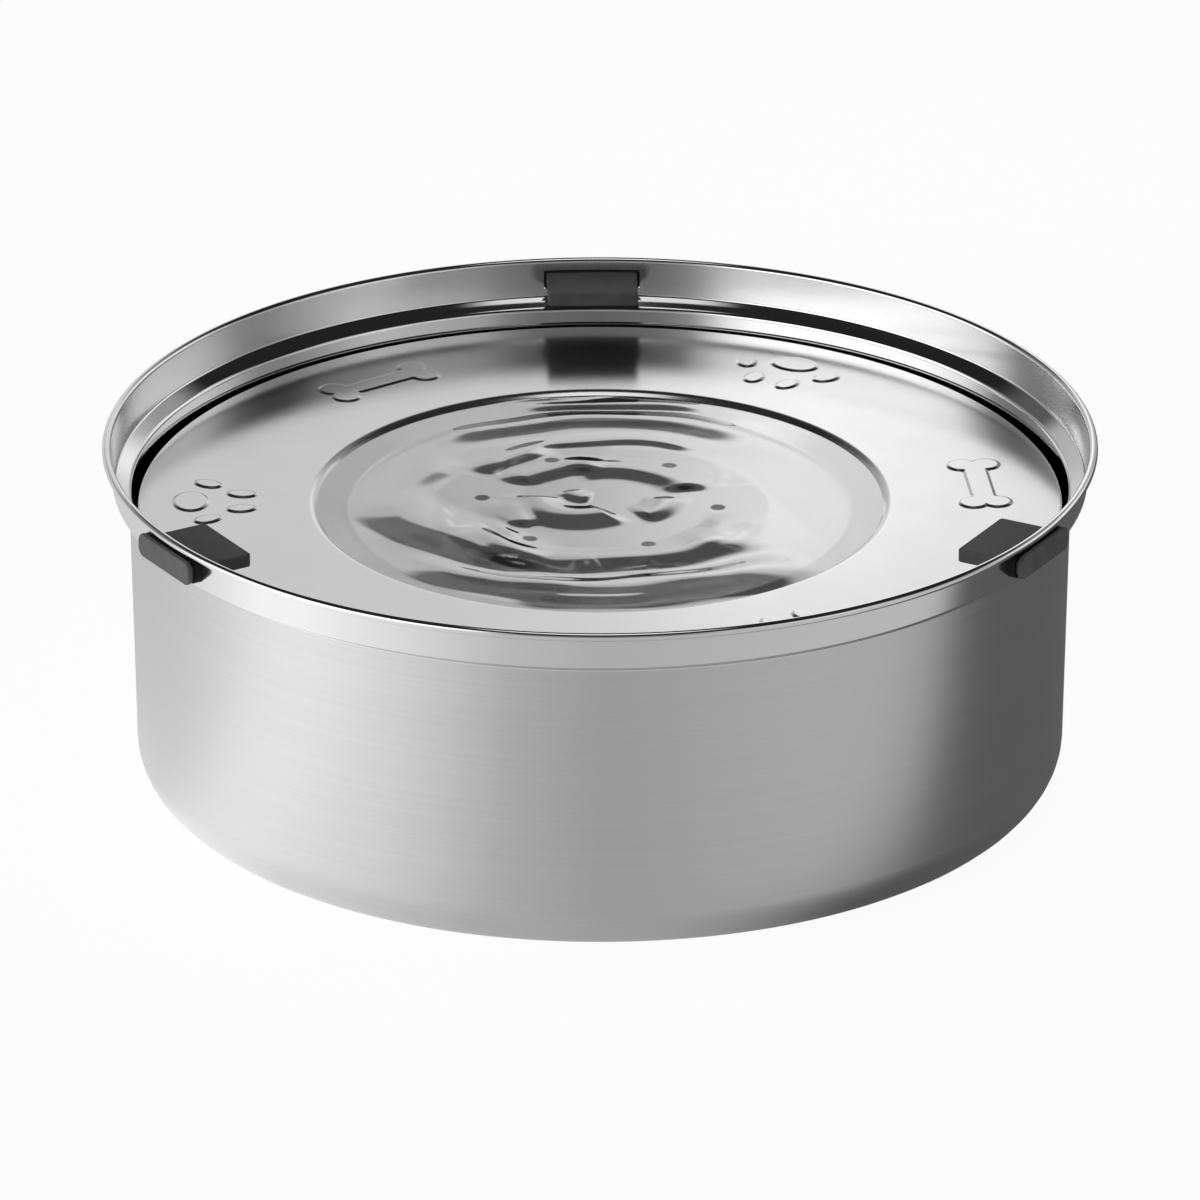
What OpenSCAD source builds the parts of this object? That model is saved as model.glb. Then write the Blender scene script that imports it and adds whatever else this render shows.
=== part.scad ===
// Floating water bowl for pets.
// A drawn steel bowl holds the water. A steel disc floats on it and lets a little water into its dish.
// Three rubber latches slide through slots in the collar and keep the disc from lifting out.
// The origin is the centre of the base, +Z is up, and the front of the bowl faces -Y.

/* [Bowl] */
// Outside diameter over the rolled rim
rim_d = 260; // [250:1:300]
// Height from the base to the top of the rim
bowl_h = 93.5; // [85:0.5:120]
// Thickness of the bowl's sheet
bowl_t = 0.6; // [0.4:0.05:0.9]
// Outside radius of the bend between base and wall
base_bend_r = 12.5; // [8:0.5:20]
// How much the wall narrows in radius from the ledge to the base
wall_draft = 1.75; // [0.5:0.05:3]

/* [Rim and collar] */
// Outside diameter of the rolled edge
curl_d = 2.3; // [2:0.1:3.2]
// Depth of the collar's lower bend below the rim
collar_h = 10.4; // [9:0.1:12]
// How far the collar leans in from the rim to its lower bend
collar_lean = 1.85; // [1:0.05:3]
// Width of the ledge
ledge_w = 4.2; // [3:0.1:7]
// Drop of the ledge from the collar to the wall
ledge_drop = 2.1; // [2:0.1:5]
// Radius of the bends above and below the ledge, at the middle of the sheet
ledge_bend_r = 1.2; // [1:0.1:2]

/* [Floating disc] */
// Depth of the disc's flat face below the rim, afloat
disc_depth = 16.8; // [15:0.1:20]
// Gap between the disc and the wall
disc_gap = 1.9; // [1.5:0.05:4]
// Thickness of the disc's sheet
disc_t = 0.5; // [0.4:0.05:0.8]
// Height of the edge that is turned down round the disc
disc_edge_h = 2; // [1.6:0.1:4]
// Radius of the dish where its wall meets the flat face
dish_r = 75.5; // [60:0.5:78]
// Depth of the dish
dish_depth = 6.5; // [5:0.1:10]
// Width of the dish's sloping wall
dish_wall_w = 9; // [7:0.5:14]
// Number of feed holes
feed_holes = 6; // [3:1:12]
// Diameter of a feed hole
feed_d = 4; // [2:0.1:6]
// Radius of the circle of feed holes
feed_r = 31; // [15:1:50]

/* [Float] */
// Depth of the air chamber under the disc
float_h = 17; // [12:0.5:30]
// Inside radius of the air chamber
float_in_r = 81.5; // [80.5:0.5:100]
// Radial gap between the air chamber and the turned-down edge
float_gap = 3; // [3:0.1:8]
// Thickness of the float's sheet
float_t = 0.4; // [0.3:0.05:0.6]
// Width of the flanges that are welded to the disc
float_flange = 1.9; // [1.6:0.1:2.3]

/* [Raised figures] */
// Radius of the circle that the figures stand on
figure_r = 100; // [97:0.5:101]
// Height of the figures above the flat face
figure_h = 0.5; // [0.3:0.1:1.5]
// Length of a bone
bone_len = 33; // [20:1:40]
// Diameter of a bone's knobs
knob_d = 7.4; // [5:0.1:9]
// Width of a bone's shaft
shaft_w = 6; // [4:0.1:8]
// Width of a paw's main pad
pad_w = 13; // [8:0.5:15]
// Length of a paw's main pad
pad_len = 9; // [6:0.5:11]
// Length of a paw's toe
toe_len = 7.4; // [5:0.1:9]
// Width of a paw's toe
toe_w = 5; // [3:0.1:6]

/* [Latches] */
// Angle of each front latch from the front of the bowl
front_latch_angle = 60; // [50:0.1:80]
// Width of the tongue
tongue_w = 24.2; // [16:0.1:30]
// Thickness of the tongue
tongue_t = 3.6; // [3:0.1:4]
// How far the tongue reaches over the disc
tongue_reach = 8.7; // [6:0.1:12]
// Depth of the tongue's top below the rim
tongue_depth = 3.8; // [3.7:0.1:4]
// Clearance between the tongue and its bushing
tongue_gap = 0.2; // [0.1:0.05:0.3]
// Wall of the bushing in the slot
bush_wall = 0.5; // [0.4:0.05:0.6]
// Thickness of the bushing's outer plate at its middle
bush_plate_t = 1.2; // [0.8:0.1:3]
// How far the bushing's plate overlaps the collar beside the slot
bush_overlap = 0.6; // [0.4:0.1:0.7]
// Groove between the bushing's plate and the grip plate
grip_groove = 0.6; // [0.6:0.1:2]
// Length of the grip plate
grip_w = 26.4; // [20:0.1:34]
// Height of the grip plate
grip_h = 6.4; // [5.5:0.1:6.5]
// Thickness of the grip plate
grip_t = 1.5; // [1.2:0.1:3]
// Corner radius of the grip plate
grip_corner_r = 2.5; // [1:0.1:3]

/* [Hidden] */
$fn = 240;
// Steps along one bend, one rounded corner and one oval
BEND_STEPS = 6;
CORNER_STEPS = 6;
OVAL_STEPS = 28;
// Clearance between a piece and the sheet that it is pushed through or laid on
seat_gap = 0.05;
// Extra length of a cut past the face that it starts from
over = 1;

// Collar: the line from its lower bend that runs tangent to the rolled edge
curl_r = (curl_d - bowl_t) / 2;
curl_turn = 275;
curl_c = [(rim_d - curl_d) / 2, bowl_h - curl_d / 2];
collar_foot = [rim_d / 2 - curl_d / 2 - collar_lean, bowl_h - collar_h];
to_curl = curl_c - collar_foot;
collar_tilt = atan2(to_curl[0], to_curl[1]) - asin(curl_r / norm(to_curl));
collar_dir = [sin(collar_tilt), cos(collar_tilt)];
collar_top = collar_foot + collar_dir * sqrt(pow(norm(to_curl), 2) - pow(curl_r, 2));

// Wall and base
ledge_foot = collar_foot - [ledge_w, ledge_drop];
base_corner = [ledge_foot[0] - wall_draft, bowl_t / 2];

// Disc and float
disc_z = bowl_h - disc_depth;
disc_mid_z = disc_z - disc_t / 2;
wall_in_r = ledge_foot[0] - bowl_t / 2
    - wall_draft * (ledge_foot[1] - disc_z) / (ledge_foot[1] - base_corner[1]);
disc_r = wall_in_r - disc_gap;
disc_bend_r = 1.2;
dish_bend_r = 3;
dish_floor_bend_r = 5;
feed_turn = 53;
flange_z = disc_z - disc_t - float_t / 2;
float_out_r = disc_r - disc_t - float_gap - float_t / 2;
float_bend_r = 4;
flange_bend_r = 0.8;

// Figures: bones and paws take turns round the disc
figure_pairs = 3;
bone_turn = 5;
paw_turn = 60;
// Sideways place of a bone's knobs, as a share of their diameter
knob_share = 0.42;
// Toes of a paw: sideways place, place towards the dish, and how far the toe leans out
toes = [[-12, 4.5, 32], [-5, 13.3, 10], [5, 13.3, -10], [12, 4.5, -32]];
paw_back = 7;

// Latches
rear_az = 90;
left_az = 270 - front_latch_angle;
right_az = 270 + front_latch_angle;
tongue_mid_z = bowl_h - tongue_depth - tongue_t / 2;
tongue_corner_r = 1;
tongue_in = disc_r - tongue_reach;
slot_w = tongue_w + 2 * (tongue_gap + bush_wall);
slot_h = tongue_t + 2 * (tongue_gap + bush_wall);
slot_corner_r = 1;
plate_w = slot_w + 2 * bush_overlap;
plate_h = slot_h + 2 * bush_overlap;
plate_face = collar_r(tongue_mid_z, 1) + bush_plate_t;
grip_face = plate_face + grip_groove;
// Radius that cuts and necks through the collar start from, inside it
neck_in = collar_foot[0] - ledge_w / 2;

// Radius of the collar's sheet at height z: side 1 is its outside, -1 its inside, 0 its middle
function collar_r(z, side) = collar_foot[0] + (z - collar_foot[1]) * tan(collar_tilt)
    + side * bowl_t / 2 / cos(collar_tilt);

function unit(v) = v / norm(v);
function left_of(v) = [-v[1], v[0]];
function turned(v, a) = [v[0] * cos(a) - v[1] * sin(a), v[0] * sin(a) + v[1] * cos(a)];
function turn_between(a, b) = atan2(a[0] * b[1] - a[1] * b[0], a * b);

// Places and left-hand normals along an arc that starts at p in direction d
function arc(p, d, r, turn, steps) =
    let (s = sign(turn), c = p + s * r * left_of(d))
    [for (i = [0:steps]) let (n = turned(left_of(d), turn * i / steps)) [c - s * r * n, n]];

// The bend of radius r at corner b of the path a, b, c
function bend(a, b, c, r) =
    let (d = unit(b - a), turn = turn_between(d, c - b))
    arc(b - d * r * tan(abs(turn) / 2), d, r, turn, BEND_STEPS);

// Places and normals along a bent strip: its corner points and the bend radius of each inner corner
function strip(pts, bends) =
    let (last = len(pts) - 1)
    concat(
        [[pts[0], left_of(unit(pts[1] - pts[0]))]],
        [for (i = [1:last - 1]) each bend(pts[i - 1], pts[i], pts[i + 1], bends[i - 1])],
        [[pts[last], left_of(unit(pts[last] - pts[last - 1]))]]);

// Outline of a sheet of thickness t that follows a strip
function sheet_outline(path, t) =
    let (n = len(path) - 1)
    concat([for (q = path) q[0] - q[1] * t / 2],
           [for (i = [n:-1:0]) path[i][0] + path[i][1] * t / 2]);

// Outline of a rectangle with round corners
function round_rect(w, h, r) =
    [for (k = [0:3], i = [0:CORNER_STEPS])
        let (a = 90 * (k + i / CORNER_STEPS), sx = (k == 0 || k == 3) ? 1 : -1, sy = k < 2 ? 1 : -1)
        [sx * (w / 2 - r) + r * cos(a), sy * (h / 2 - r) + r * sin(a)]];

// Outline of an oval
function oval(w, h) =
    [for (i = [0:OVAL_STEPS - 1]) let (a = 360 * i / OVAL_STEPS) [w / 2 * cos(a), h / 2 * sin(a)]];

// Turns a latch, drawn with its way out along +X, to its place round the collar
module at_latch(az) { rotate([0, 0, az]) translate([0, 0, tongue_mid_z]) children(); }

// A block from x0 to x1 along the way out, with a round-cornered section
module through_block(x0, x1, w, h, r) {
    translate([x0, 0, 0])
        rotate([90, 0, 90])
            linear_extrude(x1 - x0) polygon(round_rect(w, h, r));
}

module bowl_shell() {
    wall = strip([[0, bowl_t / 2], base_corner, ledge_foot, collar_foot, collar_top],
                 [base_bend_r - bowl_t / 2, ledge_bend_r, ledge_bend_r]);
    curl = arc(collar_top, collar_dir, curl_r, -curl_turn, 3 * BEND_STEPS);
    profile = concat([for (i = [0:len(wall) - 2]) wall[i]], curl);
    color("silver")
        difference() {
            rotate_extrude() polygon(sheet_outline(profile, bowl_t));
            for (az = [rear_az, left_az, right_az])
                at_latch(az)
                    through_block(neck_in, rim_d / 2 + over,
                                  slot_w + 2 * seat_gap, slot_h + 2 * seat_gap, slot_corner_r);
        }
}

module disc_plate() {
    edge_r = disc_r - disc_t / 2;
    floor_z = disc_mid_z - dish_depth;
    path = strip([[0, floor_z], [dish_r - dish_wall_w, floor_z], [dish_r, disc_mid_z],
                  [edge_r, disc_mid_z], [edge_r, disc_z - disc_edge_h]],
                 [dish_floor_bend_r, dish_bend_r, disc_bend_r]);
    color("gainsboro")
        difference() {
            union() {
                rotate_extrude() polygon(sheet_outline(path, disc_t));
                for (i = [0:figure_pairs - 1]) {
                    raised(bone_turn + 360 * i / figure_pairs) bone();
                    raised(paw_turn + 360 * i / figure_pairs) paw();
                }
            }
            for (i = [0:feed_holes - 1])
                rotate([0, 0, feed_turn + 360 * i / feed_holes])
                    translate([feed_r, 0, floor_z - disc_t / 2 - over])
                        cylinder(h = disc_t + 2 * over, d = feed_d);
        }
}

// Stands a figure on the disc at an angle, with its +Y outwards
module raised(az) {
    rotate([0, 0, az - 90])
        translate([0, figure_r, disc_mid_z])
            linear_extrude(disc_t / 2 + figure_h) children();
}

// A bone that lies along X
module bone() {
    knob_x = (bone_len - knob_d) / 2;
    knob_y = knob_d * knob_share;
    square([2 * knob_x, shaft_w], center = true);
    for (sx = [-1, 1], sy = [-1, 1])
        translate([sx * knob_x, sy * knob_y]) circle(d = knob_d);
}

// A paw whose toes point to the middle of the disc, along -Y
module paw() {
    translate([0, paw_back]) polygon(oval(pad_w, pad_len));
    for (toe = toes)
        translate([toe[0], paw_back - toe[1]])
            rotate(toe[2]) polygon(oval(toe_w, toe_len));
}

module float_pan() {
    low_z = flange_z - float_h;
    path = strip([[float_in_r - float_flange, flange_z], [float_in_r, flange_z], [float_in_r, low_z],
                  [float_out_r, low_z], [float_out_r, flange_z], [float_out_r + float_flange, flange_z]],
                 [flange_bend_r, float_bend_r, float_bend_r, flange_bend_r]);
    color("darkgray") rotate_extrude() polygon(sheet_outline(path, float_t));
}

// The space inside the collar's outer face (side 1) or inner face (side -1), beside the bushings
module inside_collar(side) {
    low_z = tongue_mid_z - plate_h / 2 - over;
    high_z = tongue_mid_z + plate_h / 2 + over;
    translate([0, 0, low_z])
        cylinder(h = high_z - low_z,
                 r1 = collar_r(low_z, side) + seat_gap, r2 = collar_r(high_z, side) + seat_gap);
}

// A bushing: plate outside the collar and neck in the slot, open for the tongue
module slot_seal(az) {
    color("dimgray")
        difference() {
            union() {
                difference() {
                    at_latch(az) through_block(neck_in, plate_face, plate_w, plate_h, grip_corner_r);
                    inside_collar(1);
                }
                at_latch(az)
                    through_block(neck_in, plate_face - bush_plate_t / 2, slot_w, slot_h, slot_corner_r);
            }
            inside_collar(-1);
            at_latch(az)
                through_block(neck_in - over, plate_face + over,
                              tongue_w + 2 * tongue_gap, tongue_t + 2 * tongue_gap, tongue_gap);
        }
}

// A latch: tongue through the bushing, with its grip plate outside
module latch(az) {
    color([0.13, 0.13, 0.13])
        at_latch(az) {
            translate([0, 0, -tongue_t / 2])
                linear_extrude(tongue_t)
                    translate([(tongue_in + grip_face + grip_t / 2) / 2, 0])
                        polygon(round_rect(grip_face + grip_t / 2 - tongue_in, tongue_w, tongue_corner_r));
            through_block(grip_face, grip_face + grip_t, grip_w, grip_h, grip_corner_r);
        }
}

bowl_shell();
disc_plate();
float_pan();
slot_seal(rear_az);  // slot_seal_rear
slot_seal(left_az);  // slot_seal_left
slot_seal(right_az);  // slot_seal_right
latch(rear_az);  // latch_rear
latch(left_az);  // latch_left
latch(right_az);  // latch_right
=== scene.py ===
# Floating water bowl: its finish, its water, the studio and the camera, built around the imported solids.
import math

import bpy
import numpy as np
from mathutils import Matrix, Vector
from mathutils.geometry import delaunay_2d_cdt


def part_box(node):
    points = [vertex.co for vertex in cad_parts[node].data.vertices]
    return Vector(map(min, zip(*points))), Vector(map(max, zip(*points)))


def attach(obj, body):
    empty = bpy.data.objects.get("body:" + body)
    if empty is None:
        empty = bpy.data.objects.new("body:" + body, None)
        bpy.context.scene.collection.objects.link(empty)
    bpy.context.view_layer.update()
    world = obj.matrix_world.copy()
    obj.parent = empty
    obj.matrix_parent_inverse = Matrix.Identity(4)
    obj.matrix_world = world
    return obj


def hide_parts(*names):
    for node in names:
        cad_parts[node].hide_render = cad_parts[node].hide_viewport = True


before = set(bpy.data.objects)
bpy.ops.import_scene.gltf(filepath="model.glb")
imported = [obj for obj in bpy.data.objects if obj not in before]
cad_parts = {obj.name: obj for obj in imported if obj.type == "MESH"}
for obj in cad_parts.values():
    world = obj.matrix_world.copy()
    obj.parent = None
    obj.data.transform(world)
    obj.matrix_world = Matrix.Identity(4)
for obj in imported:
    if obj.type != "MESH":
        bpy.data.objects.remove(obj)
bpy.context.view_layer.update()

# Lengths are in millimetres and angles in degrees, unless a comment says otherwise.
MM = 0.001
# Differences smaller than this don't count
NEAR = 1e-6


def node_box(node):
    """Lowest and highest corner of a solid."""
    return [np.round(np.array(corner) / MM, 2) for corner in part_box(node)]


bowl_high = node_box("bowl_shell")[1]
disc_high = node_box("disc_plate")[1]
latch_low, latch_high = node_box("latch_rear")

# Bowl
RIM_R = bowl_high[0]
BOWL_H = bowl_high[2]
BOWL_T = 0.6
BASE_BEND_R = 12.5
WALL_DRAFT = 1.75
CURL_D = 2.3
CURL_TURN = 275
CURL_STEPS = 24
COLLAR_H = 10.4
COLLAR_LEAN = 1.85
LEDGE_W = 4.2
LEDGE_DROP = 2.1
LEDGE_BEND_R = 1.2
BOWL_STEP = 1.0

# Disc
FIGURE_H = 0.5
# How much further out than the solid the disc reaches, for the thin dark gap at the wall
DISC_REACH = 0.4
DISC_R = disc_high[0] + DISC_REACH
DISC_Z = disc_high[2] - FIGURE_H
DISC_T = 0.5
DISC_EDGE_H = 2
DISC_BEND_R = 0.4
DISC_STEP = 1.5
DISH_R = 75.5
DISH_DEPTH = 6.5
DISH_WALL_W = 9
DISH_BEND_R = 3
DISH_FLOOR_BEND_R = 5
FEED_HOLES = 6
FEED_D = 4
FEED_R = 31
FEED_TURN = 53
FEED_SIDES = 28
# The part of the dish's floor that has the holes
HOLED_R = 45

# Raised figures on the disc: bones and paws take turns
BONES = [5, 125, 245]
PAWS = [60, 180, 300]
FIGURE_R = 100
# The pressed figures rise a little less than the pads of the solid
FIGURE_RISE = 0.35
FIGURE_SOFTNESS = 0.55
FIGURE_BLEND = 1.6
# The fine part of the disc's mesh under each figure: its reach in and out, half its angle, and its steps
FIGURE_REACH = 13
FIGURE_HALF_ANGLE = 11
FIGURE_RING_STEP = 0.2
FIGURE_STEP = 0.15
BONE_LEN = 33
KNOB_D = 7.4
KNOB_SHARE = 0.42
SHAFT_W = 6
PAD_W = 13
PAD_LEN = 9
TOE_LEN = 7.4
TOE_W = 5
# Each toe's place beside and ahead of the paw's middle, and its lean
TOES = [(-12, 4.5, 32), (-5, 13.3, 10), (5, 13.3, -10), (12, 4.5, -32)]
PAW_BACK = 7

# Latches
LATCHES = {"rear": 90, "left": 210, "right": 330}
TONGUE_W = 24.2
TONGUE_T = 3.6
TONGUE_CORNER_R = 1
TONGUE_EDGE_R = 0.45
GRIP_T = 1.5
GRIP_CORNER_R = 2.5
GRIP_EDGE_R = 0.5
TONGUE_Z = (latch_low[2] + latch_high[2]) / 2
TONGUE_IN = latch_low[1]
GRIP_OUT = latch_high[1]
GRIP_W = latch_high[0] - latch_low[0]
GRIP_H = latch_high[2] - latch_low[2]
SLOT_W = 25.7
SLOT_H = 5.1

# Water in the dish
WATER_DROP = 1.0
WATER_SUNK = 0.12
WATER_ROWS = 150
WATER_COLUMNS = 256


# Bent strips

def unit(v):
    return v / np.linalg.norm(v)


def left_of(v):
    return np.array([-v[1], v[0]])


def turned(v, angle):
    c, s = math.cos(math.radians(angle)), math.sin(math.radians(angle))
    return np.array([v[0] * c - v[1] * s, v[0] * s + v[1] * c])


def turn_between(a, b):
    return math.degrees(math.atan2(a[0] * b[1] - a[1] * b[0], a @ b))


def arc(start, direction, radius, turn, steps):
    """Places and left-hand normals along an arc."""
    side = math.copysign(1, turn)
    centre = start + side * radius * left_of(direction)
    normals = [turned(left_of(direction), turn * i / steps) for i in range(steps + 1)]
    return [(centre - side * radius * n, n) for n in normals]


def bend(a, b, c, radius, steps):
    """The bend at corner b of the path a, b, c."""
    direction = unit(b - a)
    turn = turn_between(direction, c - b)
    start = b - direction * radius * math.tan(math.radians(abs(turn) / 2))
    return arc(start, direction, radius, turn, steps)


def strip(points, radii, steps=10):
    """Places and normals along a bent strip: its corners and the bend radius at each inner corner."""
    points = [np.array(p, float) for p in points]
    path = [(points[0], left_of(unit(points[1] - points[0])))]
    for i, radius in enumerate(radii):
        path += bend(points[i], points[i + 1], points[i + 2], radius, steps)
    return path + [(points[-1], left_of(unit(points[-1] - points[-2])))]


def spaced(path, index, shares):
    """The path with more places, at shares of the straight run that follows path[index]."""
    (a, normal), (b, _) = path[index], path[index + 1]
    extra = [(a + (b - a) * share, normal) for share in shares]
    return path[:index + 1] + extra + path[index + 1:]


def straight_run(path, near):
    """Index of the straight run that is long and has its middle close to a place."""
    def score(i):
        run = np.linalg.norm(path[i + 1][0] - path[i][0])
        middle = (path[i + 1][0] + path[i][0]) / 2
        return np.linalg.norm(middle - near) - run
    return min(range(len(path) - 1), key=score)


# Meshes

class Build:
    """Collects the vertices, faces, normals and material numbers of one mesh."""

    def __init__(self):
        self.places = []
        self.faces = []
        self.normals = []
        self.materials = []

    def add_places(self, places):
        """Returns the index of the first place that was added."""
        first = len(self.places)
        self.places += [tuple(p) for p in places]
        return first

    def add_face(self, corners, normals=None, material=0):
        """normals has one normal for each corner, and None leaves the face flat."""
        if normals is None:
            p = [np.array(self.places[c]) for c in corners[:3]]
            flat = unit(np.cross(p[1] - p[0], p[2] - p[0]))
            normals = [flat] * len(corners)
        self.faces.append(tuple(corners))
        self.normals += [tuple(n) for n in normals]
        self.materials.append(material)

    def make(self, name, materials):
        mesh = bpy.data.meshes.new(name)
        mesh.from_pydata([tuple(c * MM for c in p) for p in self.places], [], self.faces)
        for material in materials:
            mesh.materials.append(material)
        mesh.polygons.foreach_set("material_index", self.materials)
        mesh.polygons.foreach_set("use_smooth", [True] * len(self.faces))
        mesh.normals_split_custom_set(self.normals)
        mesh.update()
        piece = bpy.data.objects.new(name, mesh)
        bpy.context.scene.collection.objects.link(piece)
        return piece


def around(radius, height, angle):
    a = math.radians(angle)
    return (radius * math.cos(a), radius * math.sin(a), height)


def columns(step, fine_step=1.0, fine_ranges=()):
    """Angles round the axis: even steps, with fine steps inside the given ranges."""
    first = min((low for low, _ in fine_ranges), default=0.0)
    stops = [] if fine_ranges else [(first, step)]
    for low, high in sorted(fine_ranges):
        stops += [(low, fine_step), (high, step)]
    stops.append((first + 360, step))
    angles = []
    for (low, width), (high, _) in zip(stops, stops[1:]):
        count = max(1, round((high - low) / width))
        angles += [low + (high - low) * i / count for i in range(count)]
    return angles


def revolve(build, loop, angles, material_of=lambda row: 0, skip=lambda row, column: False):
    """Turns a run of places round the axis, and returns the indices of each row.

    A place on the axis becomes a single point.
    """
    rows = []
    for (r, z), _ in loop:
        if r < NEAR:
            rows.append([build.add_places([(0, 0, z)])] * len(angles))
        else:
            first = build.add_places([around(r, z, a) for a in angles])
            rows.append(list(range(first, first + len(angles))))
    for i in range(len(loop) - 1):
        for j in range(len(angles)):
            if skip(i, j):
                continue
            k = (j + 1) % len(angles)
            kept, normals = [], []
            for row, column in [(i, j), (i, k), (i + 1, k), (i + 1, j)]:
                if rows[row][column] not in kept:
                    kept.append(rows[row][column])
                    n = loop[row][1]
                    normals.append(around(n[0], n[1], angles[column]))
            build.add_face(kept, normals, material_of(i))
    return rows


def surface_normals(height, x, y, step=0.05):
    """Normals of a height field."""
    dx = (height(x + step, y) - height(x - step, y)) / (2 * step)
    dy = (height(x, y + step) - height(x, y - step)) / (2 * step)
    n = np.stack([-dx, -dy, np.ones_like(dx)], axis=-1)
    return n / np.linalg.norm(n, axis=-1, keepdims=True)


def lift(build, chosen, height):
    """Raises the chosen places by a height field, and tilts the normals of the faces between them."""
    places = np.array(build.places)
    x, y = places[chosen, 0], places[chosen, 1]
    places[chosen, 2] += height(x, y)
    tilted = dict(zip(np.flatnonzero(chosen).tolist(), surface_normals(height, x, y).tolist()))
    build.places = [tuple(p) for p in places.tolist()]
    corner = 0
    for face in build.faces:
        if all(c in tilted for c in face):
            for i, c in enumerate(face):
                build.normals[corner + i] = tuple(tilted[c])
        corner += len(face)


def smooth(t):
    """Rises smoothly from 0 to 1 as t does."""
    t = np.clip(t, 0, 1)
    return t * t * (3 - 2 * t)


# Materials

# Where nearly all of a noise lies
NOISE_LOW = 0.3
NOISE_HIGH = 0.7
# Depth of the grain in steel and in rubber
STEEL_GRAIN_DEPTH = 0.02
RUBBER_GRAIN_DEPTH = 0.04
# Turn of the stretched highlight on brushed steel, as a share of a full turn
HIGHLIGHT_TURN = 0.25
# Rubber: features per metre of its grain and its clouds, and its gloss
RUBBER_GRAIN = 2600
RUBBER_CLOUDS = 160
RUBBER_ROUGHNESS = (0.42, 0.56)
RUBBER_BUMP = 0.35
RUBBER_SPECULAR = 0.08
# Water: its tone, the painted shade over a feed hole (the dark hole seen through the water), and the share
# that it mirrors
WATER_TONE = 0.74
PAINTED_HOLE_SHADE = 0.02
WATER_MIRROR = 0.5
WATER_IOR = 1.333
# The film on the water: features per metre, and roughness
WATER_FILM = 90
WATER_ROUGHNESS = (0.01, 0.03)
# The painted shade over a feed hole ends between these shares of the hole's radius
PAINTED_HOLE_SHADE_EDGE = (0.8, 1.15)


def material_nodes(name):
    material = bpy.data.materials.new(name)
    material.use_nodes = True
    tree = material.node_tree
    return material, tree, tree.nodes["Principled BSDF"]


def node(tree, kind, values=None, **settings):
    """A shader node with its settings and its input values."""
    made = tree.nodes.new(kind)
    for key, value in settings.items():
        setattr(made, key, value)
    for key, value in (values or {}).items():
        made.inputs[key].default_value = value
    return made


def stretched_noise(tree, scale, detail, roughness=0.5):
    """Noise over the object's own coordinates, with a scale for each axis in features per metre."""
    place = node(tree, "ShaderNodeTexCoord")
    mapping = node(tree, "ShaderNodeMapping", {"Scale": scale})
    noise = node(tree, "ShaderNodeTexNoise", {"Scale": 1.0, "Detail": detail, "Roughness": roughness})
    tree.links.new(place.outputs["Object"], mapping.inputs["Vector"])
    tree.links.new(mapping.outputs["Vector"], noise.inputs["Vector"])
    return noise.outputs["Fac"]


def spread(tree, factor, low, high, start=NOISE_LOW, end=NOISE_HIGH):
    """Maps a factor that runs from start to end to the range from low to high."""
    limits = {"From Min": start, "From Max": end, "To Min": low, "To Max": high}
    made = node(tree, "ShaderNodeMapRange", limits)
    tree.links.new(factor, made.inputs["Value"])
    return made.outputs["Result"]


def grey(tree, factor, *limits):
    """A grey that follows a factor, with the limits that spread takes."""
    made = node(tree, "ShaderNodeCombineColor")
    value = spread(tree, factor, *limits)
    for channel in ("Red", "Green", "Blue"):
        tree.links.new(value, made.inputs[channel])
    return made.outputs["Color"]


def add_bump(tree, shader, factor, depth, strength):
    made = node(tree, "ShaderNodeBump", {"Strength": strength, "Distance": depth * MM})
    tree.links.new(factor, made.inputs["Height"])
    tree.links.new(made.outputs["Normal"], shader.inputs["Normal"])


def steel(name, tone, roughness, grain, anisotropy=0.0, bump=0.0):
    """Steel whose tone and roughness, as (low, high), follow a grain that has a scale for each axis."""
    material, tree, shader = material_nodes(name)
    shader.inputs["Metallic"].default_value = 1.0
    lines = stretched_noise(tree, grain, detail=5.0, roughness=0.6)
    tree.links.new(grey(tree, lines, *tone), shader.inputs["Base Color"])
    tree.links.new(spread(tree, lines, *roughness), shader.inputs["Roughness"])
    if anisotropy:
        shader.inputs["Anisotropic"].default_value = anisotropy
        shader.inputs["Anisotropic Rotation"].default_value = HIGHLIGHT_TURN
        tangent = node(tree, "ShaderNodeTangent", direction_type="RADIAL", axis="Z")
        tree.links.new(tangent.outputs["Tangent"], shader.inputs["Tangent"])
    if bump:
        add_bump(tree, shader, lines, STEEL_GRAIN_DEPTH, bump)
    return material


def rubber(name, tone):
    material, tree, shader = material_nodes(name)
    grain = stretched_noise(tree, [RUBBER_GRAIN] * 3, detail=3.0)
    clouds = stretched_noise(tree, [RUBBER_CLOUDS] * 3, detail=2.0)
    tree.links.new(grey(tree, clouds, *tone), shader.inputs["Base Color"])
    tree.links.new(spread(tree, clouds, *RUBBER_ROUGHNESS), shader.inputs["Roughness"])
    shader.inputs["Specular IOR Level"].default_value = RUBBER_SPECULAR
    add_bump(tree, shader, grain, RUBBER_GRAIN_DEPTH, RUBBER_BUMP)
    return material


def feed_centres():
    """Where the feed holes are in the dish's floor, seen from above."""
    return [np.array(around(FEED_R, 0, FEED_TURN + 360 * i / FEED_HOLES)) for i in range(FEED_HOLES)]


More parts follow.
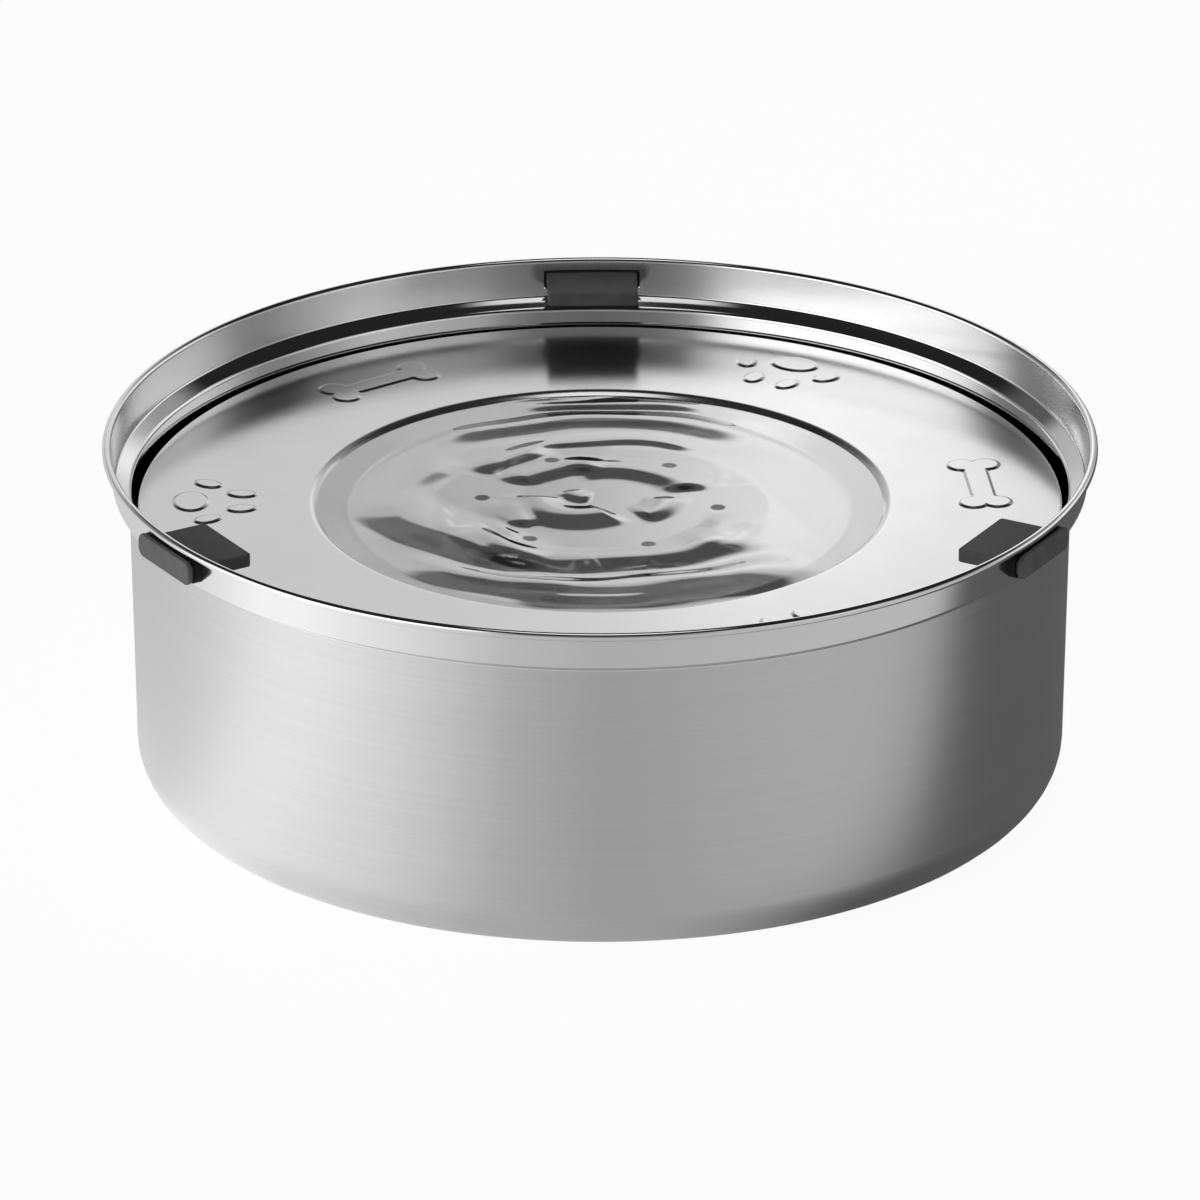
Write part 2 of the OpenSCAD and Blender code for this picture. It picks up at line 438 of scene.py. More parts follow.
def to_feed_hole(tree):
    """How far a place is, seen from above, from the middle of the nearest feed hole."""
    place = node(tree, "ShaderNodeTexCoord")
    flat = node(tree, "ShaderNodeVectorMath", {1: (1, 1, 0)}, operation="MULTIPLY")
    tree.links.new(place.outputs["Object"], flat.inputs[0])
    nearest = None
    for centre in feed_centres():
        away = node(tree, "ShaderNodeVectorMath", {1: centre * MM}, operation="DISTANCE")
        tree.links.new(flat.outputs["Vector"], away.inputs[0])
        nearer = away.outputs["Value"]
        if nearest:
            least = node(tree, "ShaderNodeMath", operation="MINIMUM")
            tree.links.new(nearest, least.inputs[0])
            tree.links.new(nearer, least.inputs[1])
            nearer = least.outputs["Value"]
        nearest = nearer
    return nearest


def water_material():
    """Water that mirrors the studio in part, shows the dish under it, and has shade painted into its
    colour over the feed holes.
    """
    material, tree, shader = material_nodes("water")
    edge = [FEED_D / 2 * share * MM for share in PAINTED_HOLE_SHADE_EDGE]
    # Painted shade: the water's colour goes dark over each feed hole, standing in for the dark hole seen
    # through the water
    tone = grey(tree, to_feed_hole(tree), PAINTED_HOLE_SHADE, WATER_TONE, *edge)
    tree.links.new(tone, shader.inputs["Base Color"])
    shader.inputs["Metallic"].default_value = WATER_MIRROR
    shader.inputs["Transmission Weight"].default_value = 1.0
    shader.inputs["IOR"].default_value = WATER_IOR
    film = stretched_noise(tree, [WATER_FILM] * 3, detail=2.0)
    tree.links.new(spread(tree, film, *WATER_ROUGHNESS), shader.inputs["Roughness"])
    return material


brushed_steel = steel("brushed_steel", tone=(0.59, 0.63), roughness=(0.28, 0.34), grain=(14, 14, 1700),
                      anisotropy=0.75, bump=0.03)
polished_steel = steel("polished_steel", tone=(0.70, 0.73), roughness=(0.05, 0.08), grain=(9, 9, 120))
collar_steel = steel("collar_steel", tone=(0.70, 0.73), roughness=(0.14, 0.18), grain=(9, 9, 120))
satin_steel = steel("satin_steel", tone=(0.67, 0.70), roughness=(0.16, 0.20), grain=(60, 60, 60))
float_steel = steel("float_steel", tone=(0.50, 0.60), roughness=(0.25, 0.34), grain=(120, 120, 120),
                    bump=0.05)
latch_rubber = rubber("latch_rubber", tone=(0.095, 0.125))
seal_rubber = rubber("seal_rubber", tone=(0.014, 0.022))
water = water_material()


# Bowl

# Material numbers of the bowl's mesh
BRUSHED, POLISHED, COLLAR = range(3)


def sheet_loop(path, thickness):
    """The two faces of a bent sheet as one run of places and outward normals."""
    under = [(p - n * thickness / 2, -n) for p, n in path]
    upper = [(p + n * thickness / 2, n) for p, n in reversed(path)]
    return under + upper


def bowl_path():
    """The middle of the bowl's sheet from the axis to the end of the rolled edge.

    Also returns the row at the lower edge of the slots.
    """
    curl_r = (CURL_D - BOWL_T) / 2
    curl_centre = np.array([RIM_R - CURL_D / 2, BOWL_H - CURL_D / 2])
    collar_foot = np.array([RIM_R - CURL_D / 2 - COLLAR_LEAN, BOWL_H - COLLAR_H])
    to_curl = curl_centre - collar_foot
    reach = np.linalg.norm(to_curl)
    tilt = math.atan2(to_curl[0], to_curl[1]) - math.asin(curl_r / reach)
    collar_dir = np.array([math.sin(tilt), math.cos(tilt)])
    collar_top = collar_foot + collar_dir * math.sqrt(reach ** 2 - curl_r ** 2)
    ledge_foot = collar_foot - [LEDGE_W, LEDGE_DROP]
    base_corner = np.array([ledge_foot[0] - WALL_DRAFT, BOWL_T / 2])
    wall = strip([(0, BOWL_T / 2), base_corner, ledge_foot, collar_foot, collar_top],
                 [BASE_BEND_R - BOWL_T / 2, LEDGE_BEND_R, LEDGE_BEND_R])
    collar_row = len(wall) - 2
    foot_z, top_z = wall[collar_row][0][1], collar_top[1]
    shares = [(TONGUE_Z + side * SLOT_H / 2 - foot_z) / (top_z - foot_z) for side in (-1, 1)]
    wall = spaced(wall, collar_row, shares)
    return wall[:-1] + arc(collar_top, collar_dir, curl_r, -CURL_TURN, CURL_STEPS), collar_row + 1


def close_slots(build, rows, in_slot, low, high):
    """The cut faces of the slots. low and high are the outer and inner rows at their two edges."""
    for j in range(len(in_slot)):
        if not in_slot[j]:
            continue
        k = (j + 1) % len(in_slot)
        cuts = [[(low[0], j), (low[0], k), (low[1], k), (low[1], j)],
                [(high[0], k), (high[0], j), (high[1], j), (high[1], k)]]
        if not in_slot[j - 1]:
            cuts.append([(high[0], j), (low[0], j), (low[1], j), (high[1], j)])
        if not in_slot[k]:
            cuts.append([(low[0], k), (high[0], k), (high[1], k), (low[1], k)])
        for cut in cuts:
            build.add_face([rows[row][column] for row, column in cut], None, POLISHED)


def make_bowl():
    path, slot_row = bowl_path()
    loop = sheet_loop(path, BOWL_T)
    last = len(loop) - 1
    half = math.degrees(math.asin(SLOT_W / 2 / path[slot_row][0][0]))
    slots = [(a - half, a + half) for a in LATCHES.values()]
    angles = columns(BOWL_STEP, BOWL_STEP, slots)
    in_slot = [any(low - NEAR <= angle < high - NEAR for low, high in slots) for angle in angles]
    low_rows = (slot_row, last - slot_row)
    high_rows = (slot_row + 1, last - slot_row - 1)
    slot_rows = (low_rows[0], high_rows[1])
    bend_z = BOWL_H - COLLAR_H - LEDGE_DROP - LEDGE_BEND_R
    wall_top = next(i for i, (p, _) in enumerate(path) if p[1] > bend_z)

    def material_of(row):
        if row <= wall_top:
            return BRUSHED
        place = row if row < len(path) else last - 1 - row
        return COLLAR if slot_row - 1 <= place < slot_row + 2 else POLISHED

    build = Build()
    rows = revolve(build, loop, angles, material_of, lambda i, j: i in slot_rows and in_slot[j])
    close_slots(build, rows, in_slot, low_rows, high_rows)
    piece = build.make("bowl", [brushed_steel, polished_steel, collar_steel])
    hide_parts("bowl_shell")
    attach(piece, "bowl")


# Disc

# Kind of triangulation that fills only the inside of outlines
INSIDE = 1


def disc_path():
    """The middle of the disc's sheet from the part with the holes to the end of its turned-down edge."""
    mid_z = DISC_Z - DISC_T / 2
    floor_z = mid_z - DISH_DEPTH
    edge_r = DISC_R - DISC_T / 2
    return strip([(HOLED_R, floor_z), (DISH_R - DISH_WALL_W, floor_z), (DISH_R, mid_z),
                  (edge_r, mid_z), (edge_r, DISC_Z - DISC_EDGE_H)],
                 [DISH_FLOOR_BEND_R, DISH_BEND_R, DISC_BEND_R])


def oval_distance(x, y, w, h):
    """About how far a place lies outside an oval."""
    k = np.hypot(x / (w / 2), y / (h / 2))
    slope = np.hypot(x / (w / 2) ** 2, y / (h / 2) ** 2) / np.maximum(k, NEAR)
    return (k - 1) / np.maximum(slope, NEAR)


def soft_join(a, b):
    """The nearer of two distances, rounded where the two shapes meet."""
    near = np.clip(0.5 + 0.5 * (b - a) / FIGURE_BLEND, 0, 1)
    return b + (a - b) * near - FIGURE_BLEND * near * (1 - near) / 2


def bone_distance(x, y):
    knob_x = (BONE_LEN - KNOB_D) / 2
    dx, dy = np.abs(x) - knob_x, np.abs(y) - SHAFT_W / 2
    shaft = np.hypot(np.maximum(dx, 0), np.maximum(dy, 0)) + np.minimum(np.maximum(dx, dy), 0)
    knob = np.hypot(np.abs(x) - knob_x, np.abs(y) - KNOB_D * KNOB_SHARE) - KNOB_D / 2
    return soft_join(shaft, knob)


def paw_distance(x, y):
    distance = oval_distance(x, y - PAW_BACK, PAD_W, PAD_LEN)
    for side, ahead, lean in TOES:
        c, s = math.cos(math.radians(lean)), math.sin(math.radians(lean))
        tx, ty = x - side, y - (PAW_BACK - ahead)
        distance = np.minimum(distance, oval_distance(tx * c + ty * s, ty * c - tx * s, TOE_W, TOE_LEN))
    return distance


def figure_height(x, y):
    """Height of the raised figures above the disc's flat face."""
    height = np.zeros_like(x)
    for angle in BONES + PAWS:
        a = math.radians(angle - 90)
        fx = x * math.cos(a) + y * math.sin(a)
        fy = y * math.cos(a) - x * math.sin(a) - FIGURE_R
        distance = (bone_distance if angle in BONES else paw_distance)(fx, fy)
        height = np.maximum(height, FIGURE_RISE * smooth(0.5 - distance / (2 * FIGURE_SOFTNESS)))
    return height


def raise_figures(build):
    places = np.array(build.places)
    radius = np.hypot(places[:, 0], places[:, 1])
    flat = np.abs(places[:, 2] - DISC_Z) < NEAR
    lift(build, flat & (np.abs(radius - FIGURE_R) < FIGURE_REACH + FIGURE_RING_STEP), figure_height)


def fill_floor(build, lower_ring, upper_ring, angles):
    """Closes the middle of the dish's floor, with its feed holes."""
    centres = [centre[:2] for centre in feed_centres()]
    hole = [np.array(around(FEED_D / 2, 0, 360 * i / FEED_SIDES)[:2]) for i in range(FEED_SIDES)]
    outlines = [[around(HOLED_R, 0, a)[:2] for a in angles]]
    outlines += [[centre + p for p in hole] for centre in centres]
    points, edges = [], []
    for outline in outlines:
        first, count = len(points), len(outline)
        points += [Vector(p) for p in outline]
        edges += [(first + i, first + (i + 1) % count) for i in range(count)]
    flat, _, triangles, origins, _, _ = delaunay_2d_cdt(points, edges, [], INSIDE, NEAR)
    source_of = {index: source for index, sources in enumerate(origins) for source in sources}

    sides = []
    for ring in (lower_ring, upper_ring):
        z = build.places[ring[0]][2]
        side = {}
        for index, p in enumerate(flat):
            source = source_of.get(index, -1)
            on_ring = 0 <= source < len(ring)
            side[index] = ring[source] if on_ring else build.add_places([(p.x, p.y, z)])
        sides.append(side)
    lower, upper = sides

    for triangle in triangles:
        a, b, c = [np.array(flat[i]) for i in triangle]
        if any(np.linalg.norm((a + b + c) / 3 - centre) < FEED_D / 2 for centre in centres):
            continue
        ordered = triangle if turn_between(b - a, c - a) > 0 else triangle[::-1]
        build.add_face([upper[i] for i in ordered], [(0, 0, 1)] * 3)
        build.add_face([lower[i] for i in reversed(ordered)], [(0, 0, -1)] * 3)

    index_of = {source: index for index, source in source_of.items()}
    for first, last in edges[len(angles):]:
        a, b = index_of[first], index_of[last]
        build.add_face([lower[a], lower[b], upper[b], upper[a]])


def make_disc():
    path = disc_path()
    flat = straight_run(path, np.array([FIGURE_R, DISC_Z]))
    low, high = path[flat][0][0], path[flat + 1][0][0]
    rings = np.arange(FIGURE_R - FIGURE_REACH, FIGURE_R + FIGURE_REACH, FIGURE_RING_STEP)
    upper = spaced(path, flat, (rings - low) / (high - low))
    loop = [(p - n * DISC_T / 2, -n) for p, n in path]
    loop += [(p + n * DISC_T / 2, n) for p, n in reversed(upper)]
    fine_ranges = [(a - FIGURE_HALF_ANGLE, a + FIGURE_HALF_ANGLE) for a in BONES + PAWS]
    angles = columns(DISC_STEP, FIGURE_STEP, fine_ranges)
    build = Build()
    rows = revolve(build, loop, angles)
    raise_figures(build)
    fill_floor(build, rows[0], rows[-1], angles)
    piece = build.make("disc", [satin_steel])
    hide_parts("disc_plate")
    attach(piece, "disc")


# Water

CRESCENTS = [
    # middle, radius of the crest, first and last angle, widths of the inner and outer sides, height
    ((8, 32), 73, 208, 245, 18, 14, 1.5),
    ((-4, 27), 65, 250, 306, 9, 11, 0.75),
    ((0, 27), 84, 234, 260, 7, 10, 0.8),
    ((2, 20), 77, 254, 304, 10, 16, 1.25),
    ((0, 0), 65, 259, 279, 2.5, 4, 0.25),
    ((0, 0), 35, 308, 340, 6, 8, 0.42),
    ((0, 0), 39, 214, 240, 4, 5, 0.35),
    ((0, 0), 32, 204, 226, 3, 4, 0.3),
    ((0, 0), 24, 180, 214, 6, 9, 0.6),
    ((-4, 4), 12, 180, 298, 8, 11, 0.85),
    ((1, 13), 9, 206, 254, 5, 6, 0.4),
    ((4, 4), 14, 296, 350, 7, 8, 0.55),
    ((0, 0), 59, 98, 131, 8, 6, 0.55),
    ((0, 0), 59, 52, 98, 10, 6, 0.55),
    ((0, 0), 68.5, 68, 104, 4.5, 5, 0.36),
    ((0, 0), 74, 92, 106, 3.5, 1.5, 0.28),
    ((0, 0), 39, 112, 141, 9, 9, 0.75),
    ((0, 2), 41, 56, 116, 4, 7, 0.34),
    ((0, 0), 27, 94, 142, 8, 8, 0.6),
    ((2, 0), 23.5, 20, 106, 9, 9, 0.62),
    ((0, 0), 48, 148, 162, 7, 7, 0.5),
]
# Angle over which a crescent dies out at its ends
CRESCENT_END = 16
# Width of the calm water along the dish's wall
CALM_W = 1.5
# Waves that sway the ripples along x and y: size, radians per millimetre of x and of y, start in radians
SWAY_X = [(1.0, 0, 0.085, 0.9), (0.6, 0.19, -0.13, 2.1)]
SWAY_Y = [(1.0, 0.078, 0, 2.6), (0.6, 0.15, 0.2, 0.4)]


def sway(waves, x, y):
    return sum(size * np.sin(by_x * x + by_y * y + start) for size, by_x, by_y, start in waves)


def water_height(x, y):
    """Height of the ripples, which sway a little, so that none is an even arc."""
    x, y = x + sway(SWAY_X, x, y), y + sway(SWAY_Y, x, y)
    height = np.zeros_like(x)
    for (cx, cy), crest, first, last, inner_w, outer_w, rise in CRESCENTS:
        radius = np.hypot(x - cx, y - cy)
        span = last - first
        along = (np.degrees(np.arctan2(y - cy, x - cx)) - first) % 360
        along = np.where(along < (span + 360) / 2, along, along - 360)
        ends = smooth(along / CRESCENT_END + 0.5) * smooth((span - along) / CRESCENT_END + 0.5)
        ridge = smooth((radius - crest + inner_w) / inner_w) * smooth((crest + outer_w - radius) / outer_w)
        height += rise * ends * ridge
    return height


def make_water():
    top_z = DISC_Z - WATER_DROP
    upper = [p + n * (DISC_T / 2 - WATER_SUNK) for p, n in disc_path()]
    under = [upper[0] * [0, 1]] + [p for p in upper if p[1] < top_z]
    a = under[-1]
    b = next(p for p in upper if p[1] >= top_z)
    edge_r = a[0] + (b[0] - a[0]) * (top_z - a[1]) / (b[1] - a[1])
    down, up = np.array([0, -1]), np.array([0, 1])
    loop = [(p, down) for p in under]
    loop += [(np.array([edge_r * i / WATER_ROWS, top_z]), up) for i in range(WATER_ROWS, -1, -1)]
    build = Build()
    revolve(build, loop, columns(360 / WATER_COLUMNS))
    top = np.abs(np.array(build.places)[:, 2] - top_z) < NEAR
    lift(build, top, lambda x, y: water_height(x, y) * smooth((edge_r - np.hypot(x, y)) / CALM_W))
    piece = build.make("water", [water])
    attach(piece, "disc")


# Latches

def round_rect(w, h, r, steps=8):
    """Places and outward normals round a rectangle with round corners."""
    outline = []
    for k in range(4):
        sx, sy = (1 if k in (0, 3) else -1), (1 if k < 2 else -1)
        for i in range(steps + 1):
            a = math.radians(90 * (k + i / steps))
            n = np.array([math.cos(a), math.sin(a)])
            outline.append((np.array([sx * (w / 2 - r), sy * (h / 2 - r)]) + r * n, n))
    return outline


def edge_rings(thickness, edge_r, steps):
    """The rings of a plate's rounded edge: inset, height, and how far the normal points out and up."""
    rings = []
    for end in (0, 1):
        for i in range(steps + 1):
            a = math.radians(90 * (i / steps if end == 0 else 1 - i / steps))
            rise = edge_r * (1 - math.cos(a))
            up = rise if end == 0 else thickness - rise
            tilt = -math.cos(a) if end == 0 else math.cos(a)
            rings.append((edge_r * (1 - math.sin(a)), up, math.sin(a), tilt))
    return rings


def plate(build, outline, thickness, edge_r, place, steps=5):
    """A plate with rounded edges. place turns (across, along, up) into a place, up from 0 to thickness."""
    rings = edge_rings(thickness, edge_r, steps)
    origin = np.array(place(0, 0, 0))
    axes = [np.array(place(*e)) - origin for e in np.eye(3)]
    count = len(outline)
    firsts = []
    for inset, up, _, _ in rings:
        firsts.append(build.add_places([place(*(p - n * inset), up) for p, n in outline]))

    def normal(ring, i):
        _, _, side, tilt = rings[ring]
        n = outline[i][1]
        return axes[0] * n[0] * side + axes[1] * n[1] * side + axes[2] * tilt

    for ring in range(len(rings) - 1):
        for i in range(count):
            k = (i + 1) % count
            corners = [(ring, i), (ring, k), (ring + 1, k), (ring + 1, i)]
            build.add_face([firsts[r] + c for r, c in corners], [normal(r, c) for r, c in corners])
    build.add_face([firsts[0] + i for i in reversed(range(count))], [-axes[2]] * count)
    build.add_face([firsts[-1] + i for i in range(count)], [axes[2]] * count)


def make_latch(side, azimuth):
    a = math.radians(azimuth)
    out = np.array([math.cos(a), math.sin(a), 0])
    across = np.array([-math.sin(a), math.cos(a), 0])
    up = np.array([0, 0, 1])
    grip_in = GRIP_OUT - GRIP_T
    length = grip_in - TONGUE_IN + GRIP_EDGE_R
    middle = TONGUE_IN + length / 2
    build = Build()
    plate(build, round_rect(length, TONGUE_W, TONGUE_CORNER_R), TONGUE_T, TONGUE_EDGE_R,
          lambda u, v, w: out * (middle + u) + across * v + up * (TONGUE_Z - TONGUE_T / 2 + w))
    plate(build, round_rect(GRIP_W, GRIP_H, GRIP_CORNER_R), GRIP_T, GRIP_EDGE_R,
          lambda u, v, w: across * u + up * (TONGUE_Z + v) + out * (grip_in + w))
    piece = build.make(f"latch_{side}_rubber", [latch_rubber])
    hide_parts(f"latch_{side}")
    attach(piece, f"latch_{side}")


def dress_solids():
    """Materials for the solids that stay as they are."""
    finishes = {"float_pan": float_steel}
    finishes.update({f"slot_seal_{side}": seal_rubber for side in LATCHES})
    for name, material in finishes.items():
        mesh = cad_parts[name].data
        mesh.materials.clear()
        mesh.materials.append(material)


# Camera

CAMERA_ELEVATION = 22.36
CAMERA_TURN = 1.0
CAMERA_DISTANCE = 4000
SENSOR = 36
# The nearest and the farthest that the camera sees, in metres
CAMERA_NEAR = 0.1
CAMERA_FAR = 100
PHOTO_SIDE_PX = 1200
PX_PER_MM = 3.83
# How far below the photo's top the middle of the rim is
RIM_CENTRE_PX = 439.6


def make_camera():
    """A long lens that shows the middle of the rim at the height where the photo shows it."""
    focal_px = PX_PER_MM * CAMERA_DISTANCE
    e, t = math.radians(CAMERA_ELEVATION), math.radians(CAMERA_TURN)
    back = Vector((-math.sin(t) * math.cos(e), -math.cos(t) * math.cos(e), math.sin(e)))
    rim_centre = Vector((0, 0, BOWL_H))
    place = rim_centre + back * CAMERA_DISTANCE
    below = (PHOTO_SIDE_PX / 2 - RIM_CENTRE_PX) / focal_px
    aim_z = place.z - math.hypot(place.x, place.y) * math.tan(e + math.atan(below))
    data = bpy.data.cameras.new("camera")
    data.sensor_width = SENSOR
    data.lens = focal_px * SENSOR / PHOTO_SIDE_PX
    data.clip_start, data.clip_end = CAMERA_NEAR, CAMERA_FAR
    camera = bpy.data.objects.new("camera", data)
    camera.location = place * MM
    camera.rotation_mode = "QUATERNION"
    camera.rotation_quaternion = (Vector((0, 0, aim_z)) - place).to_track_quat("-Z", "Y")
    bpy.context.scene.collection.objects.link(camera)
    bpy.context.scene.camera = camera


# Studio

# Brightness round the bowl, as (degrees to the right of the camera, brightness)
LOW_LIGHT = [(-180, 0.9), (-150, 0.9), (-115, 1.0), (-100, 2.2), (-60, 2.2), (-42, 1.0), (-12, 0.6),
             (0, 0.55), (37, 0.6), (60, 0.8), (82, 0.8), (105, 0.25), (140, 0.2), (165, 0.8), (180, 0.9)]
MID_LIGHT = [(-180, 0.9), (-160, 0.6), (-142, 0.38), (-128, 0.28), (-116, 0.4), (-103, 1.5), (-88, 2.0),
             (-57, 2.05), (-40, 2.0), (-32, 1.45), (-24, 0.45), (-15, 0.27), (0, 0.22), (14, 0.25),
             (22, 0.38), (28, 0.62), (57, 0.9), (72, 0.55), (84, 0.4), (93, 0.42), (104, 0.8),
             (114, 1.05), (138, 1.1), (147, 0.8), (153, 0.5), (164, 0.5), (173, 0.9), (180, 0.9)]
HIGH_LIGHT = [(-180, 0.14), (-144, 0.12), (-136, 0.15), (-123, 0.06), (-116, 0.15), (-111, 0.38),
              (-106, 0.9), (-101, 1.6), (-90, 1.9), (-70, 2.1), (-50, 2.2), (-32, 1.7), (-21, 0.22),
              (0, 0.1), (18, 0.2), (30, 0.6), (46, 0.7), (60, 0.4), (74, 0.27), (80, 0.03), (86, 0.0),
              (98, 0.0), (103, 0.05), (108, 0.25), (114, 0.55), (121, 0.65), (128, 0.5), (140, 0.12),
              (148, 0.4), (157, 0.4), (164, 0.14), (180, 0.14)]
FLOOR_LIGHT = [(-180, 0.6), (-130, 0.72), (-110, 0.82), (-86, 0.98), (-70, 1.26), (-58, 1.24), (-47, 1.07),
               (-37, 0.95), (-18, 0.66), (0, 0.56), (37, 0.64), (60, 0.66), (90, 0.6), (180, 0.6)]
# Angles above the horizon over which one kind of light gives way to the next
LOW_LIGHT_END = (4, 9)
MID_LIGHT_END = (26, 30)
HIGH_LIGHT_END = (34, 40)
TOP_LIGHT_START = (74, 79)
TOP_LIGHT = 1.2
DARK = 0.02
# Soft lamps behind the bowl on the right: place, radius, brightness
LAMPS = [((100, 534, 245), 170, 0.5), ((62, 534, 297), 75, 0.5)]
# Floor: half its side, its tone, and the brightness and share of the glow that the camera sees in it
FLOOR_HALF = 30000
FLOOR_TONE = (0.82, 0.82, 0.82, 1)
FLOOR_ROUGHNESS = 0.9
FLOOR_GLOW = 1.05
FLOOR_GLOW_SHARE = 0.9
# The bowl's shadow, which only what mirrors the floor shows: where it fades in along x and along y,
# how far its edge moves back with each step to the right, and its brightness
SHADOW_FROM_X = (0, 70)
SHADOW_FROM_Y = (-152, -112)
SHADOW_TURN = 0.21
SHADOW = 0.12
# Places of the colour sockets in a mix node
MIX_FIRST, MIX_SECOND, MIX_RESULT = 6, 7, 2


def ramp(tree, stops):
    """A grey ramp: (place from 0 to 1, brightness)."""
    made = node(tree, "ShaderNodeValToRGB")
    elements = made.color_ramp.elements
    while len(elements) < len(stops):
        elements.new(0.5)
    for element, (place, value) in zip(elements, stops):
        element.position = place
        element.color = (value, value, value, 1)
    return made


def light_round(tree, parts, stops):
    """Brightness that follows the direction round the bowl."""
    forward = node(tree, "ShaderNodeMath", {1: -1.0}, operation="MULTIPLY")
    angle = node(tree, "ShaderNodeMath", operation="ARCTAN2")
    share = node(tree, "ShaderNodeMapRange", {"From Min": -math.pi, "From Max": math.pi})
    made = ramp(tree, [((degrees + 180) / 360, value) for degrees, value in stops])
    tree.links.new(parts.outputs["Y"], forward.inputs[0])
    tree.links.new(parts.outputs["X"], angle.inputs[0])
    tree.links.new(forward.outputs[0], angle.inputs[1])
    tree.links.new(angle.outputs[0], share.inputs["Value"])
    tree.links.new(share.outputs["Result"], made.inputs["Fac"])
    return made.outputs["Color"]


def mixed(tree, factor, first, second):
    """Two lights mixed by a factor. Each is an output or a grey number."""
    made = node(tree, "ShaderNodeMix", data_type="RGBA")
    tree.links.new(factor, made.inputs["Factor"])
    for place, light in ((MIX_FIRST, first), (MIX_SECOND, second)):
        if isinstance(light, float):
            made.inputs[place].default_value = (light, light, light, 1)
        else:
            tree.links.new(light, made.inputs[place])
    return made.outputs[MIX_RESULT]


def step_up(tree, value, low, high):
    """0 below the low value, 1 above the high one."""
    limits = {"From Min": low, "From Max": high}
    made = node(tree, "ShaderNodeMapRange", limits, interpolation_type="SMOOTHSTEP")
    tree.links.new(value, made.inputs["Value"])
    return made.outputs["Result"]


def mixed_shader(tree, first, second, factor=0.5):
    """Two shaders mixed by a number."""
    made = node(tree, "ShaderNodeMixShader", {"Fac": factor})
    tree.links.new(first, made.inputs[1])
    tree.links.new(second, made.inputs[2])
    return made


def stage_plane(name, half, material):
    mesh = bpy.data.meshes.new(name)
    corners = [(-half, -half), (half, -half), (half, half), (-half, half)]
    mesh.from_pydata([(x * MM, y * MM, 0) for x, y in corners], [], [(0, 1, 2, 3)])
    mesh.materials.append(material)
    plane = bpy.data.objects.new(name, mesh)
    bpy.context.scene.collection.objects.link(plane)
    return plane


def floor_shadow(tree, parts):
    """1 inside the bowl's shadow, 0 outside it."""
    shadow = node(tree, "ShaderNodeMath", operation="MULTIPLY")
    back = node(tree, "ShaderNodeMath", {1: -SHADOW_TURN}, operation="MULTIPLY_ADD")
    tree.links.new(parts.outputs["X"], back.inputs[0])
    tree.links.new(parts.outputs["Y"], back.inputs[2])
    edges = ((parts.outputs["X"], SHADOW_FROM_X), (back.outputs[0], SHADOW_FROM_Y))
    for i, (value, limits) in enumerate(edges):
        tree.links.new(step_up(tree, value, *(v * MM for v in limits)), shadow.inputs[i])
    return shadow.outputs[0]


def make_floor():
    """A pale floor. What mirrors it sees the light that falls on it from each side."""
    material, tree, shader = material_nodes("floor")
    shader.inputs["Base Color"].default_value = FLOOR_TONE
    shader.inputs["Roughness"].default_value = FLOOR_ROUGHNESS
    shader.inputs["Specular IOR Level"].default_value = 0.0
    place = node(tree, "ShaderNodeTexCoord")
    parts = node(tree, "ShaderNodeSeparateXYZ")
    tree.links.new(place.outputs["Object"], parts.inputs["Vector"])
    mirrored = node(tree, "ShaderNodeEmission")
    lit = light_round(tree, parts, FLOOR_LIGHT)
    tree.links.new(mixed(tree, floor_shadow(tree, parts), lit, SHADOW), mirrored.inputs["Color"])
    pale = node(tree, "ShaderNodeEmission", {"Color": (1, 1, 1, 1), "Strength": FLOOR_GLOW})
    shown = mixed_shader(tree, shader.outputs["BSDF"], pale.outputs["Emission"], FLOOR_GLOW_SHARE)
    both = mixed_shader(tree, mirrored.outputs["Emission"], shown.outputs["Shader"])
    seen = node(tree, "ShaderNodeLightPath")
    tree.links.new(seen.outputs["Is Camera Ray"], both.inputs["Fac"])
    tree.links.new(both.outputs["Shader"], tree.nodes["Material Output"].inputs["Surface"])
    stage_plane("floor", FLOOR_HALF, material)


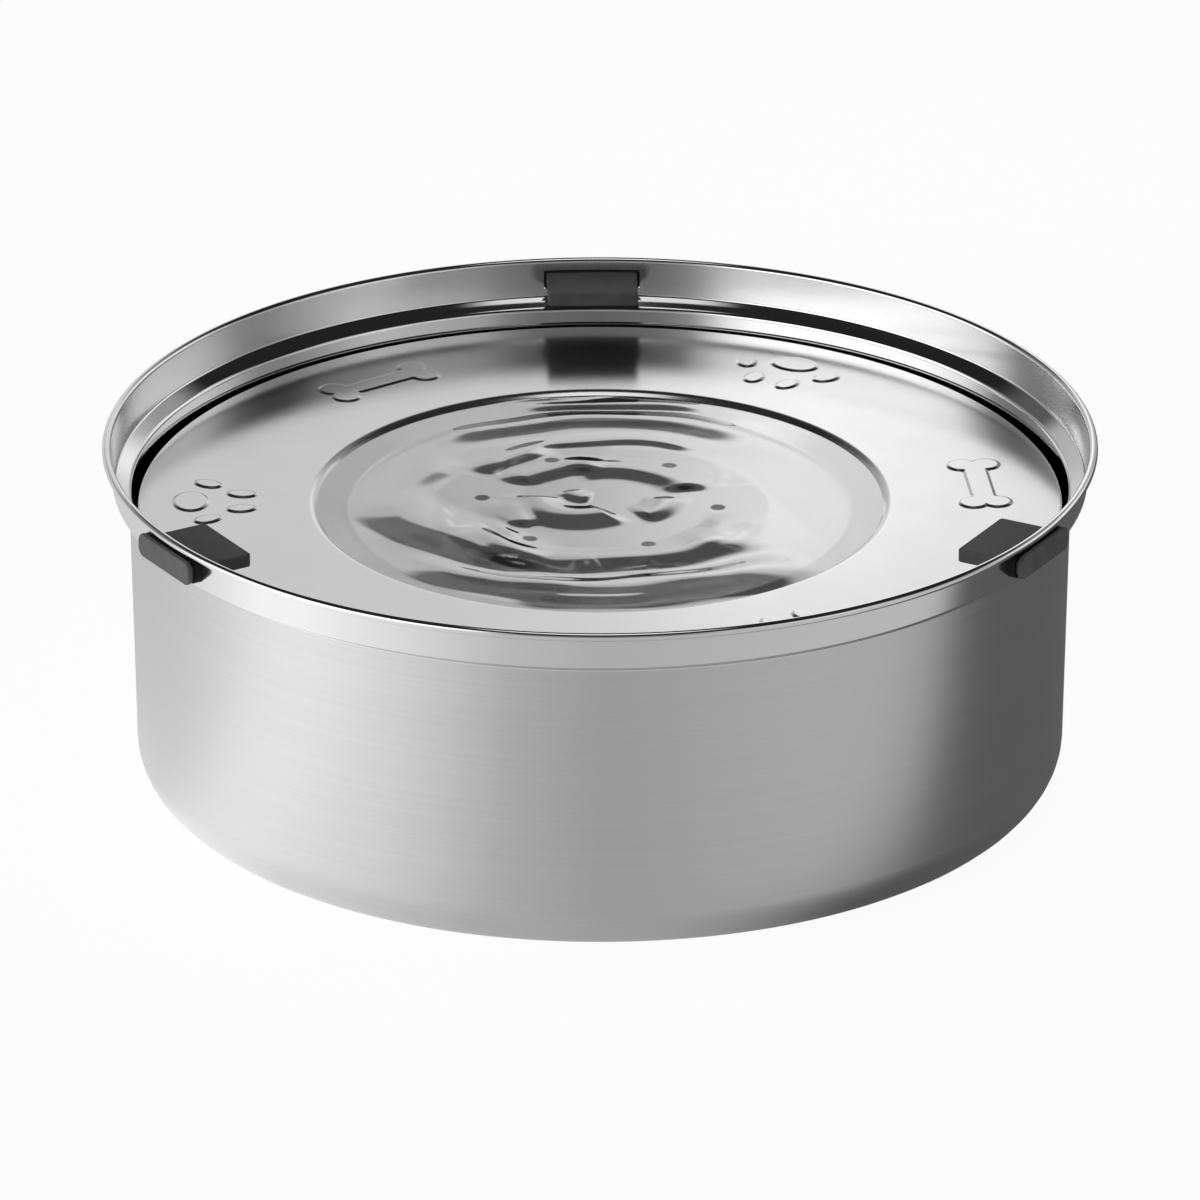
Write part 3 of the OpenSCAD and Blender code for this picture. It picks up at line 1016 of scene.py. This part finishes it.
def make_lamp(name, centre, radius, light):
    """A round lamp that fades out to its edge. Only reflections show it."""
    material, tree, _ = material_nodes(name)
    place = node(tree, "ShaderNodeTexCoord")
    away = node(tree, "ShaderNodeVectorMath", operation="LENGTH")
    tree.links.new(place.outputs["Object"], away.inputs[0])
    glow = node(tree, "ShaderNodeEmission")
    fade = mixed(tree, step_up(tree, away.outputs["Value"], 0, radius * MM), light, 0.0)
    tree.links.new(fade, glow.inputs["Color"])
    clear = node(tree, "ShaderNodeBsdfTransparent")
    both = node(tree, "ShaderNodeAddShader")
    tree.links.new(glow.outputs["Emission"], both.inputs[0])
    tree.links.new(clear.outputs["BSDF"], both.inputs[1])
    tree.links.new(both.outputs["Shader"], tree.nodes["Material Output"].inputs["Surface"])
    lamp = stage_plane(name, radius, material)
    lamp.location = Vector(centre) * MM
    lamp.rotation_euler = (math.radians(90), 0, 0)
    lamp.visible_camera = False
    lamp.visible_shadow = False


def make_world():
    """Light from all round, in bands one above the other."""
    world = bpy.data.worlds.new("studio")
    bpy.context.scene.world = world
    world.use_nodes = True
    tree = world.node_tree
    place = node(tree, "ShaderNodeTexCoord")
    parts = node(tree, "ShaderNodeSeparateXYZ")
    tree.links.new(place.outputs["Generated"], parts.inputs["Vector"])
    light = light_round(tree, parts, LOW_LIGHT)
    higher = [(LOW_LIGHT_END, light_round(tree, parts, MID_LIGHT)),
              (MID_LIGHT_END, light_round(tree, parts, HIGH_LIGHT)),
              (HIGH_LIGHT_END, DARK), (TOP_LIGHT_START, TOP_LIGHT)]
    for degrees, above in higher:
        heights = [math.sin(math.radians(d)) for d in degrees]
        light = mixed(tree, step_up(tree, parts.outputs["Z"], *heights), light, above)
    tree.links.new(light, tree.nodes["Background"].inputs["Color"])


# The whole scene

make_bowl()
make_disc()
make_water()
for latch_side, latch_azimuth in LATCHES.items():
    make_latch(latch_side, latch_azimuth)
dress_solids()
make_camera()
make_floor()
for number, lamp_values in enumerate(LAMPS, 1):
    make_lamp(f"lamp_{number}", *lamp_values)
make_world()
bpy.context.scene.view_settings.view_transform = "Standard"
